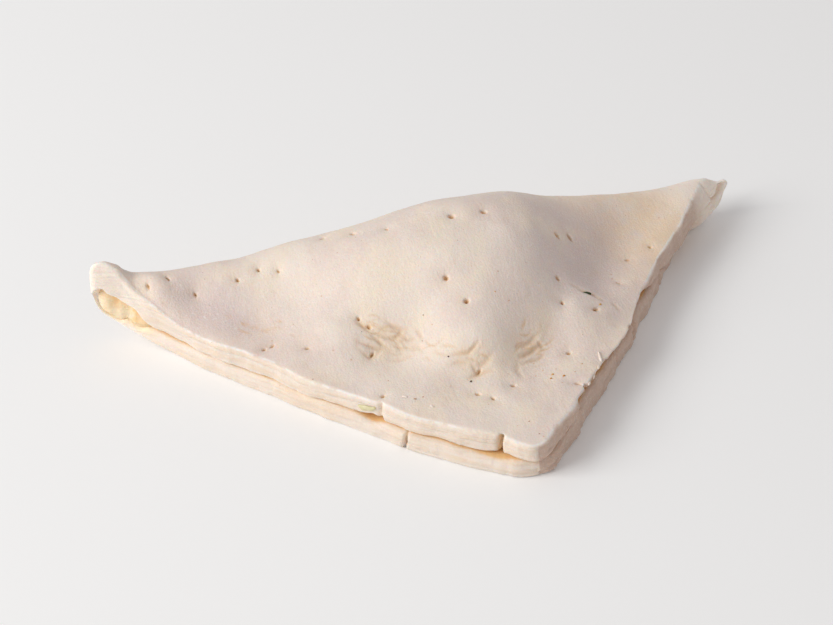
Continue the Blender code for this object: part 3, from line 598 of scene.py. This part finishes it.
def finish_dough(mesh):
    """Sculpt the creases, holes and puckers into the skin; mark the dough's colours and its painted shade and
    light.
    """
    count = len(mesh.vertices)
    co, normal = np.empty((2, count, 3))
    mesh.vertices.foreach_get("co", co.ravel())
    mesh.vertices.foreach_get("normal", normal.ravel())
    layer = {name: np.empty(count) for name in ("walk", "ring", "upper")}
    for name, values in layer.items():
        mesh.attributes[name].data.foreach_get("value", values)
    ring = layer["ring"]
    x, y, z = co.T
    on_top = (ring == 0) & (normal[:, 2] > 0.15) & (layer["upper"] > 1.0)
    lift, painted_crease_shade, puckered, pricked = np.zeros((4, count))

    tops = np.flatnonzero(on_top | ((ring > 0) & (ring < 0.12) & (layer["walk"] > 1) & (layer["walk"] < 3)))
    tx, ty, tz = co[tops].T
    rise = 0.26 * lumps(tx, ty, tz, 13, 21) + 0.10 * lumps(tx, ty, tz, 5, 22)
    rise = rise + 0.03 * lumps(tx, ty, tz, 1.7, 23)
    # Painted shade: creases, fine wrinkles, puckers and the dimples round the holes get an orange-brown
    # colour that grows with their depth
    shade = np.zeros(len(tops))
    for depth, width, points in CREASES:
        line = crease_depth(tx, ty, points, width)
        shoulder = crease_depth(tx, ty, points, width * 2.4)
        rise = rise - depth * line + 0.25 * abs(depth) * (shoulder - line)
        shade = shade + (2.1 * depth * line if depth > 0 else 0)
    for depth, width, points in fine_wrinkles():
        far = np.hypot(tx - points[1][0], ty - points[1][1]) < 5
        line = np.zeros(len(tops))
        line[far] = crease_depth(tx[far], ty[far], points, width)
        rise = rise - WRINKLE_SHARE * depth * line
        shade = np.maximum(shade, np.clip(7 * depth, 0.3, 0.85) * line)
    for px, py, along, across, turn, depth in PUCKERS:
        there = heap(tx, ty, px, py, 1.0, along, across, turn, 1.2)
        u, v = turned(tx, ty, px, py, turn)
        folds = 1 - np.abs(lumps(u * 0.42, v + 0.8 * lumps(tx, ty, 0, 4, 31), 0, 1.5, 32)) * 2.4
        rise = rise - depth * there * np.clip(folds, 0, 1)
        shade = shade + 0.12 * there * np.clip(folds, 0, 1)
        puckered[tops] = np.maximum(puckered[tops], there)
    holes = np.zeros(len(tops))
    for *outline, depth in PRICKS:
        hole, dimple = prick_shape(tx, ty, *outline)
        rise = rise - HOLE_SHARE * depth * hole - DIMPLE_DEPTH * dimple
        holes = np.maximum(holes, hole)
        shade = shade + 0.10 * dimple
    lift[tops] = rise
    painted_crease_shade[tops] = np.clip(shade, 0, 1)
    pricked[tops] = holes

    under = (ring == 0) & ~on_top & (z > 0.02)
    ripple = 0.20 * lumps(*co[under].T, 13, 21) + 0.08 * lumps(*co[under].T, 5, 22)
    lift[under] += ripple * ease(z[under], 0.02, 2.5)
    co = co + normal * lift[:, None]
    mesh.vertices.foreach_set("co", co.ravel())

    from_front, side, leaf = rim_place(layer["walk"])[2:5]
    swollen = in_mouth(from_front, side)
    bitten = nicks(side, from_front, leaf, 2.0) * ease(ring, 0.0, 0.2) * (ring < 1.2)
    lower_lip = ease(ring + 0.05 * ease(side, 30, 45), 0.88, 1.03)
    at_gap = np.where(leaf < 0, lower_lip, ease(ring, 0.93, 1.15))
    marks = {
        # Painted shade in the creases, wrinkles, puckers and dimples
        "painted_crease_shade": painted_crease_shade,
        # Where the holes are, for their painted shade
        "pricked": pricked,
        "cut": ease(ring, 0.02, 0.3),
        # Painted shade: amber in the gap between the leaves and deep in the mouth's groove
        "deep": at_gap * (1 - swollen) * (1 - ease(from_front, 97, 102)) + ease(ring, 1.5, 1.9) * swollen,
        # A whitish line where the skin meets the cut faces
        "floury": np.exp(-((ring - 0.08) / 0.08) ** 2) * (ring > 0),
        # The mouth: buttery yellow, painted brighter still for the light glowing through the thin dough
        "mouth": np.where(leaf < 0, ease(ring, 0.3, 0.95), ease(ring, 0.85, 1.05)) * swollen,
        "streaked": (ease(1 - 3.2 * np.abs(lumps(from_front, 0.5 * ring, 0, 1.9, 16)), 0, 1)
                     * swollen * (ring > 1)),
        # Painted shade in the cracks and notches of the cut faces
        "notched": ease(bitten, 0.3, 1.4),
        "shaded_side": (side < 0) * ease(ring, 0.0, 0.3) * (1 - ease(from_front, 86, 98)),
        # Painted light: paler cut faces at both tips and paler skin near the right tip
        "pale": np.where(ring > 0, ease(from_front, 88, 98), ease(x, 52, 68) * on_top),
        # The dough's own orange patch towards the right, and painted shade in the hollow behind the left edge
        "warm_patch_and_shade": np.maximum(heap(x, y, 48, -16, 1.0, 17, 12, -20, 1.3),
                           heap(x, y, -48, -22, 0.3, 10, 3.5, -36, 1.2)) * (ring == 0),
        # Painted shade, mauve: on the slope right of the main heap and in the hollow behind the left edge
        "painted_slope_shade": (heap(x, y, 26, -22, 1.0, 13, 10, 50, 1.4) + heap(x, y, -52, -14, 0.7, 10, 4, -28, 1.3)
                 + heap(x, y, -48, -22, 0.6, 10, 3.5, -36, 1.2)) * (ring == 0),
        "puckered": puckered,
    }
    for name, values in marks.items():
        mark = mesh.attributes.new(name, "FLOAT", "POINT")
        mark.data.foreach_set("value", np.clip(values, 0, 1).astype(np.float32))
    for name in layer:
        mesh.attributes.remove(mesh.attributes[name])


def make_object(name, data):
    made = bpy.data.objects.new(name, data)
    bpy.context.scene.collection.objects.link(made)
    return made


def smooth_object(name, bm):
    mesh = bpy.data.meshes.new(name)
    bm.to_mesh(mesh)
    bm.free()
    mesh.shade_smooth()
    return make_object(name, mesh)


class Wire:
    """A shader value that Python's operators join to others."""

    def __init__(self, tree, socket):
        self.tree = tree
        self.socket = socket

    def maths(self, operation, *others):
        return self.tree.node("ShaderNodeMath", {"operation": operation}, dict(enumerate((self, *others))))

    def __add__(self, other):
        return self.maths("ADD", other)

    def __rsub__(self, other):
        return self.maths("MULTIPLY", -1).maths("ADD", other)

    def __mul__(self, other):
        return self.maths("MULTIPLY", other)

    __rmul__ = __mul__

    def between(self, low, high):
        """0 below low, 1 above high, smooth between them; low may be the larger."""
        return self.tree.node("ShaderNodeMapRange", {"interpolation_type": "SMOOTHSTEP"},
                              {"Value": self, "From Min": low, "From Max": high})


class Finish:
    """A material under construction."""

    def __init__(self, name):
        self.material = bpy.data.materials.new(name)
        self.material.use_nodes = True
        self.nodes = self.material.node_tree.nodes
        self.links = self.material.node_tree.links
        self.shader = self.nodes["Principled BSDF"]

    def join(self, socket, value):
        if isinstance(value, Wire):
            self.links.new(value.socket, socket)
        else:
            socket.default_value = value

    def node(self, kind, settings, sockets, output=0):
        made = self.nodes.new(kind)
        for name, value in settings.items():
            setattr(made, name, value)
        for name, value in sockets.items():
            self.join(made.inputs[name], value)
        return Wire(self, made.outputs[output])

    def mix(self, share, first, second):
        """Colour: the first where share is 0, the second where it is 1."""
        return self.node("ShaderNodeMix", {"data_type": "RGBA"}, {0: share, 6: first, 7: second}, 2)

    def noise(self, scale, detail=2.0, rough=0.5, stretch=(1, 1, 1), distortion=0.0, turn=(0, 0, 0)):
        place = self.node("ShaderNodeTexCoord", {}, {}, "Object")
        place = self.node("ShaderNodeMapping", {}, {"Vector": place, "Scale": stretch, "Rotation": turn})
        return self.node("ShaderNodeTexNoise", {}, {"Vector": place, "Scale": scale, "Detail": detail,
                                                    "Roughness": rough, "Distortion": distortion})

    def mark(self, name):
        return self.node("ShaderNodeAttribute", {"attribute_name": name}, {}, "Fac")

    def set(self, **sockets):
        for name, value in sockets.items():
            self.join(self.shader.inputs[name.replace("_", " ")], value)


def dough_finish():
    """Raw puff pastry: cream dough with flour, buttery layers at the cuts, painted shade in its holes and
    creases.
    """
    dough = Finish("raw_puff_dough")
    cream, rosy, straw = (0.875, 0.765, 0.675, 1), (0.81, 0.685, 0.615, 1), (0.895, 0.77, 0.635, 1)
    orange, painted_shade_mauve = (0.93, 0.72, 0.52, 1), (0.695, 0.575, 0.56, 1)
    butter_and_painted_glow, amber, hole_shade_umber = (1.0, 0.80, 0.55, 1), (0.88, 0.55, 0.22, 1), (0.36, 0.19, 0.08, 1)
    chalk = (0.90, 0.83, 0.78, 1)
    cut_cream, cut_butter = (0.83, 0.725, 0.635, 1), (0.81, 0.65, 0.495, 1)

    colour = dough.mix(dough.noise(55, 3).between(0.36, 0.64), cream, rosy)
    patches = dough.noise(120, 4, 0.6, turn=(0.4, 0.2, 0.7)).between(0.44, 0.68)
    colour = dough.mix(patches * 0.8, colour, straw)
    # Orange: the dough's own patch towards the right, and painted shade in the hollow behind the left edge
    colour = dough.mix(dough.mark("warm_patch_and_shade") * dough.noise(130, 4, 0.65).between(0.22, 0.58), colour, orange)
    # Painted shade: mauve on the slope right of the main heap and in the hollow behind the left edge
    colour = dough.mix(dough.mark("painted_slope_shade") * dough.noise(90, 3).between(0.2, 0.5) * 0.7, colour, painted_shade_mauve)
    smears = dough.noise(420, 3, 0.6, stretch=(1.4, 0.45, 1), turn=(0, 0, radians(-20))).between(0.50, 0.72)
    colour = dough.mix(smears * dough.noise(70, 2).between(0.42, 0.66) * 0.35, colour, (0.72, 0.56, 0.45, 1))
    layers = dough.noise(230, 3, stretch=(0.18, 0.18, 4.5), distortion=0.5).between(0.35, 0.65)
    cut = dough.mark("cut")
    cut_colour = dough.mix(layers * 0.8 * dough.noise(90, 2).between(0.25, 0.55), cut_cream, cut_butter)
    cut_colour = dough.mix(dough.mark("shaded_side") * 0.85, cut_colour, (0.60, 0.425, 0.335, 1))
    colour = dough.mix(cut, colour, cut_colour)
    # Painted light: paler cut faces at both tips and paler skin near the right tip
    colour = dough.mix(dough.mark("pale") * 0.85, colour, (1.0, 0.875, 0.77, 1))
    speckle = dough.noise(2400, 2, 0.6)
    colour = dough.mix(speckle.between(0.45, 0.30) * 0.12, colour, (0.66, 0.52, 0.44, 1))
    colour = dough.mix(speckle.between(0.55, 0.70) * 0.35, colour, chalk)
    grains = dough.noise(1500, 2).between(0.56, 0.70) * dough.noise(300, 2).between(0.42, 0.62)
    colour = dough.mix(grains * (1 - cut) * 0.42, colour, chalk)
    # A whitish line where the skin meets the cut faces
    edge_whitening = dough.mark("floury") * dough.noise(500, 3).between(0.36, 0.52)
    edge_whitening = edge_whitening * dough.noise(60, 2).between(0.3, 0.5)
    colour = dough.mix(edge_whitening * 0.9, colour, (0.93, 0.89, 0.86, 1))
    # A darker, oranger patchy tint over the puckered places
    pucker_tint = dough.mark("puckered") * dough.noise(380, 3, 0.6).between(0.35, 0.65)
    colour = dough.mix(pucker_tint * 0.40, colour, (0.85, 0.68, 0.50, 1))
    # Painted shade: orange-brown in the creases, wrinkles, puckers and dimples
    colour = dough.mix(dough.mark("painted_crease_shade") * 0.72, colour, (0.74, 0.47, 0.23, 1))
    mouth = dough.mark("mouth")
    # The mouth: buttery yellow, painted brighter still for the light glowing through the thin dough
    colour = dough.mix(mouth * 0.95, colour, butter_and_painted_glow)
    colour = dough.mix(dough.mark("streaked") * dough.noise(300, 2).between(0.35, 0.55) * 0.75, colour, amber)
    # Painted shade: amber in the gap between the leaves and deep in the mouth's groove
    colour = dough.mix(dough.mark("deep") * (0.85 - mouth * 0.6), colour, amber)
    # Painted shade in the cracks and notches of the cut faces
    colour = dough.mix(dough.mark("notched") * 0.8, colour, (0.70, 0.45, 0.22, 1))
    # Painted shade in the pricked holes: ochre over each hole, deepening to umber at its bottom
    pricked = dough.mark("pricked")
    colour = dough.mix(pricked.between(0.05, 0.8) * 0.8, colour, (0.72, 0.44, 0.20, 1))
    painted_hole_shade = pricked.between(0.70, 1.0) * dough.noise(900, 2).between(0.4, 0.55)
    colour = dough.mix(painted_hole_shade * 0.85, colour, hole_shade_umber)
    dots = dough.node("ShaderNodeTexVoronoi", {"feature": "F1"},
                      {"Vector": dough.node("ShaderNodeTexCoord", {}, {}, "Object"), "Scale": 260.0,
                       "Randomness": 1.0}, "Distance")
    bran = dots.between(0.075, 0.03) * dough.noise(90, 1).between(0.50, 0.58) * (1 - cut)
    colour = dough.mix(bran * 0.55, colour, (0.62, 0.33, 0.15, 1))

    brushed = dough.noise(900, 2, stretch=(1.6, 0.35, 1), turn=(0, 0, radians(-28)))
    floury = dough.noise(2300, 3, 0.6)
    soft = dough.noise(420, 3)
    height = brushed * 0.30 + floury * 0.60 + soft * 0.28 + layers * cut * 0.6
    bump = dough.node("ShaderNodeBump", {}, {"Strength": 0.45, "Distance": 0.0005, "Height": height})
    dough.set(Base_Color=colour, Roughness=0.60 - 0.12 * cut, Normal=bump, Subsurface_Weight=0.28,
              Subsurface_Radius=(1.0, 0.55, 0.32), Subsurface_Scale=0.0016, Specular_IOR_Level=0.35)
    return dough.material


def plain_finish(name, first, second, scale, roughness):
    """A small bit of seasoning or herb: two colours in soft patches."""
    bit = Finish(name)
    colour = bit.mix(bit.noise(scale, 2).between(0.4, 0.6), (*first, 1), (*second, 1))
    bump = bit.node("ShaderNodeBump", {},
                    {"Strength": 0.3, "Distance": 0.0002, "Height": bit.noise(scale * 3)})
    bit.set(Base_Color=colour, Roughness=roughness, Normal=bump)
    return bit.material


def make_pastry():
    """The pastry in metres in the part's frame, and the shift that took it there."""
    bm = folded_dough()
    refine_details(bm)
    low = np.min([v.co for v in bm.verts], axis=0)
    high = np.max([v.co for v in bm.verts], axis=0)
    mesh = bpy.data.meshes.new("puff_pastry")
    bm.to_mesh(mesh)
    bm.free()
    finish_dough(mesh)
    mesh.shade_smooth()
    cad_low, cad_high = (np.array(corner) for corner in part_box("pastry"))
    shift = (cad_low + cad_high) / 2 - MM * (low + high) / 2
    shift[2] = cad_low[2]
    bm = bmesh.new()
    bm.from_mesh(mesh)
    resting = [face for face in bm.faces if max(v.co.z for v in face.verts) < 1e-4]
    bmesh.ops.dissolve_faces(bm, faces=resting, use_verts=True)
    bmesh.ops.scale(bm, verts=bm.verts, vec=(MM, MM, MM))
    bmesh.ops.translate(bm, verts=bm.verts, vec=shift)
    bm.to_mesh(mesh)
    bm.free()
    pastry = make_object("puff_pastry", mesh)
    pastry.data.materials.append(dough_finish())
    return pastry, shift


def place_on_dough(pastry, shift, x, y):
    """The point of the pastry's top over this plan place, and its normal."""
    above = Vector((x * MM + shift[0], y * MM + shift[1], 0.1))
    _, point, normal, _ = pastry.ray_cast(above, Vector((0, 0, -1)))
    return point, normal


def flake_mesh(name, spots, pastry, shift):
    """Small flakes lying on the dough; each spot gives x, y, length, width, thickness and turn."""
    bm = bmesh.new()
    for number, (x, y, length, width, thick, turn) in enumerate(spots):
        point, normal = place_on_dough(pastry, shift, x, y)
        made = bmesh.ops.create_icosphere(bm, subdivisions=2, radius=1)["verts"]
        along = Vector((cos(radians(turn)), sin(radians(turn)), 0))
        along = (along - normal * along.dot(normal)).normalized()
        across = normal.cross(along)
        for vert in made:
            co = vert.co.copy()
            wobble = 1 + 0.22 * sin(3.1 * co.x + number) * cos(2.3 * co.y + 2 * number)
            vert.co = point + MM * (along * co.x * length / 2 * wobble + across * co.y * width / 2 * wobble
                                    + normal * (co.z * thick / 2 + thick * 0.25))
    return smooth_object(name, bm)


def bit_on_left_face(name, from_front, station, size, shift):
    """A bit of filling caught in a cut face of the left side; size is its length, height and thickness."""
    middle = cut_face(np.array([2 - from_front / SIDE]), station)[0]
    ahead = cut_face(np.array([2 - (from_front + 2) / SIDE]), station)[0]
    along = Vector(ahead - middle).normalized()
    out = Vector((-0.707, -0.707, 0))
    bm = bmesh.new()
    bmesh.ops.create_icosphere(bm, subdivisions=3, radius=0.5)
    for vert in bm.verts:
        co = vert.co.copy()
        wobble = 1 + 0.18 * sin(9 * co.x) + 0.12 * sin(13 * co.x + 5 * co.z)
        bow = 0.35 * (1 - (2 * co.x) ** 2)
        vert.co = (Vector(middle) + along * co.x * size[0] + Vector((0, 0, co.z * size[1] * wobble - bow))
                   + out * (co.y * size[2] * wobble + 0.05))
    bmesh.ops.scale(bm, verts=bm.verts, vec=(MM, MM, MM))
    bmesh.ops.translate(bm, verts=bm.verts, vec=shift)
    bmesh.ops.recalc_face_normals(bm, faces=bm.faces)
    return smooth_object(name, bm)


def scattered_specks(pastry, name, amount, least, most, seed, material):
    """Fine specks of seasoning where the dough faces up, spread by a node tree and made one plain mesh."""
    tree = bpy.data.node_groups.new(name, "GeometryNodeTree")
    tree.interface.new_socket("Geometry", in_out="INPUT", socket_type="NodeSocketGeometry")
    asked = [tree.interface.new_socket(label, in_out="INPUT", socket_type="NodeSocketFloat")
             for label in ("Specks per square metre", "Smallest", "Largest")]
    tree.interface.new_socket("Geometry", in_out="OUTPUT", socket_type="NodeSocketGeometry")
    nodes = tree.nodes
    start, end = nodes.new("NodeGroupInput"), nodes.new("NodeGroupOutput")
    normal, split = nodes.new("GeometryNodeInputNormal"), nodes.new("ShaderNodeSeparateXYZ")
    facing_up = nodes.new("FunctionNodeCompare")
    spread = nodes.new("GeometryNodeDistributePointsOnFaces")
    speck = nodes.new("GeometryNodeMeshIcoSphere")
    flatten = nodes.new("GeometryNodeTransform")
    size, spin = nodes.new("FunctionNodeRandomValue"), nodes.new("FunctionNodeRandomValue")
    spin.data_type = "FLOAT_VECTOR"
    turn = nodes.new("FunctionNodeRotateRotation")
    turn.rotation_space = "LOCAL"
    put = nodes.new("GeometryNodeInstanceOnPoints")
    real = nodes.new("GeometryNodeRealizeInstances")
    paint = nodes.new("GeometryNodeSetMaterial")
    values = ((facing_up, 1, DUST_FACING), (spread, "Seed", seed), (speck, "Radius", 0.5),
              (speck, "Subdivisions", 1), (flatten, "Scale", (1.0, 0.7, 0.35)), (size, "Seed", seed + 1),
              (spin, "Max", (0.0, 0.0, 6.28)), (spin, "Seed", seed + 2), (paint, "Material", material))
    for node, entry, value in values:
        node.inputs[entry].default_value = value
    joins = ((normal, "Normal", split, 0), (split, "Z", facing_up, 0), (start, "Geometry", spread, "Mesh"),
             (start, "Specks per square metre", spread, "Density"), (facing_up, 0, spread, "Selection"),
             (start, "Smallest", size, 2), (start, "Largest", size, 3), (spread, "Points", put, "Points"),
             (speck, "Mesh", flatten, "Geometry"), (flatten, "Geometry", put, "Instance"),
             (spread, "Rotation", turn, "Rotation"), (spin, "Value", turn, "Rotate By"),
             (turn, "Rotation", put, "Rotation"), (size, 1, put, "Scale"),
             (put, "Instances", real, "Geometry"), (real, "Geometry", paint, "Geometry"),
             (paint, "Geometry", end, "Geometry"))
    for giver, output, taker, entry in joins:
        tree.links.new(giver.outputs[output], taker.inputs[entry])
    carrier = make_object(name + "_carrier", pastry.data.copy())
    modifier = carrier.modifiers.new(name, "NODES")
    modifier.node_group = tree
    for socket, value in zip(asked, (float(amount), least * MM, most * MM)):
        modifier[socket.identifier] = value
    bpy.context.view_layer.update()
    made = bpy.data.meshes.new_from_object(carrier.evaluated_get(bpy.context.evaluated_depsgraph_get()))
    bpy.data.objects.remove(carrier)
    made.name = name
    return make_object(name, made)


def aimed_object(name, data, place, way):
    """A camera or light at this place, looking this way."""
    made = make_object(name, data)
    made.location = place
    made.rotation_mode = "QUATERNION"
    made.rotation_quaternion = way.to_track_quat("-Z", "Y")
    return made


def area_light(name, place, size, power, colour, aim):
    light = bpy.data.lights.new(name, "AREA")
    light.size = size
    light.energy = power
    light.color = colour
    aimed_object(name, light, Vector(place), Vector(aim) - Vector(place))


def make_stage(shift):
    """Pale floor, soft studio light, and the camera at the photograph's angle."""
    scene = bpy.context.scene
    aim = Vector((VIEW_AIM[0] * MM + shift[0], VIEW_AIM[1] * MM + shift[1], 0))
    turn, rise = radians(VIEW_TURN), radians(VIEW_RISE)
    back = Vector((sin(turn) * cos(rise), -cos(turn) * cos(rise), sin(rise)))
    camera_data = bpy.data.cameras.new("camera")
    camera_data.sensor_width = SENSOR_WIDTH
    camera_data.lens = SENSOR_WIDTH * FOCAL_PIXELS / IMAGE_WIDTH
    camera_data.clip_start = 0.01
    scene.camera = aimed_object("camera", camera_data, aim + back * VIEW_DISTANCE, -back)

    bm = bmesh.new()
    bmesh.ops.create_grid(bm, x_segments=1, y_segments=1, size=FLOOR_HALF)
    mesh = bpy.data.meshes.new("floor")
    bm.to_mesh(mesh)
    bm.free()
    floor = make_object("floor", mesh)
    floor.location = (0, 0, -FLOOR_DROP)
    pale = Finish("pale_floor")
    pale.set(Base_Color=(0.97, 0.97, 0.97, 1), Roughness=0.9)
    mesh.materials.append(pale.material)

    world = bpy.data.worlds.new("studio")
    scene.world = world
    world.use_nodes = True
    sky = world.node_tree.nodes["Background"]
    sky.inputs["Color"].default_value = SKY_COLOUR
    sky.inputs["Strength"].default_value = SKY_STRENGTH
    area_light("key", KEY_PLACE, KEY_SIZE, KEY_POWER, KEY_COLOUR, (0, 0, 0.01))
    scene.view_settings.view_transform = "Standard"


def main():
    pastry, shift = make_pastry()
    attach(pastry, "root")
    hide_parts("pastry")

    pepper = plain_finish("black_pepper", (0.035, 0.022, 0.016), (0.10, 0.06, 0.04), 900, 0.6)
    paprika = plain_finish("paprika", (0.72, 0.38, 0.09), (0.55, 0.24, 0.05), 900, 0.6)
    herb = plain_finish("green_herb", (0.035, 0.045, 0.012), (0.09, 0.10, 0.03), 900, 0.5)
    olive = plain_finish("olive_flake", (0.66, 0.60, 0.34), (0.76, 0.69, 0.45), 500, 0.4)
    crumb = plain_finish("dry_dough_crumb", (0.90, 0.80, 0.72), (0.84, 0.72, 0.62), 700, 0.7)
    husk = plain_finish("spice_husk", (0.36, 0.19, 0.09), (0.58, 0.30, 0.13), 200, 0.65)

    pieces = []
    flakes = (("pepper_specks", PEPPER, pepper), ("husk_specks", HUSKS, husk),
              ("paprika_specks", PAPRIKA, paprika), ("herb_slit", HERB, herb),
              ("dough_scraps", SCRAPS, crumb))
    for name, spots, finish in flakes:
        piece = flake_mesh(name, spots, pastry, shift)
        piece.data.materials.append(finish)
        pieces.append(piece)
    bit = bit_on_left_face("olive_flake", OLIVE_PLACE, OLIVE_STATION, OLIVE_SIZE, shift)
    bit.data.materials.append(olive)
    pieces.append(bit)
    pieces.append(scattered_specks(pastry, "spice_dust", DUST_AMOUNT, *DUST_WIDTHS, DUST_SEED, husk))
    for piece in pieces:
        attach(piece, "root")
        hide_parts("pastry")
    make_stage(shift)


main()
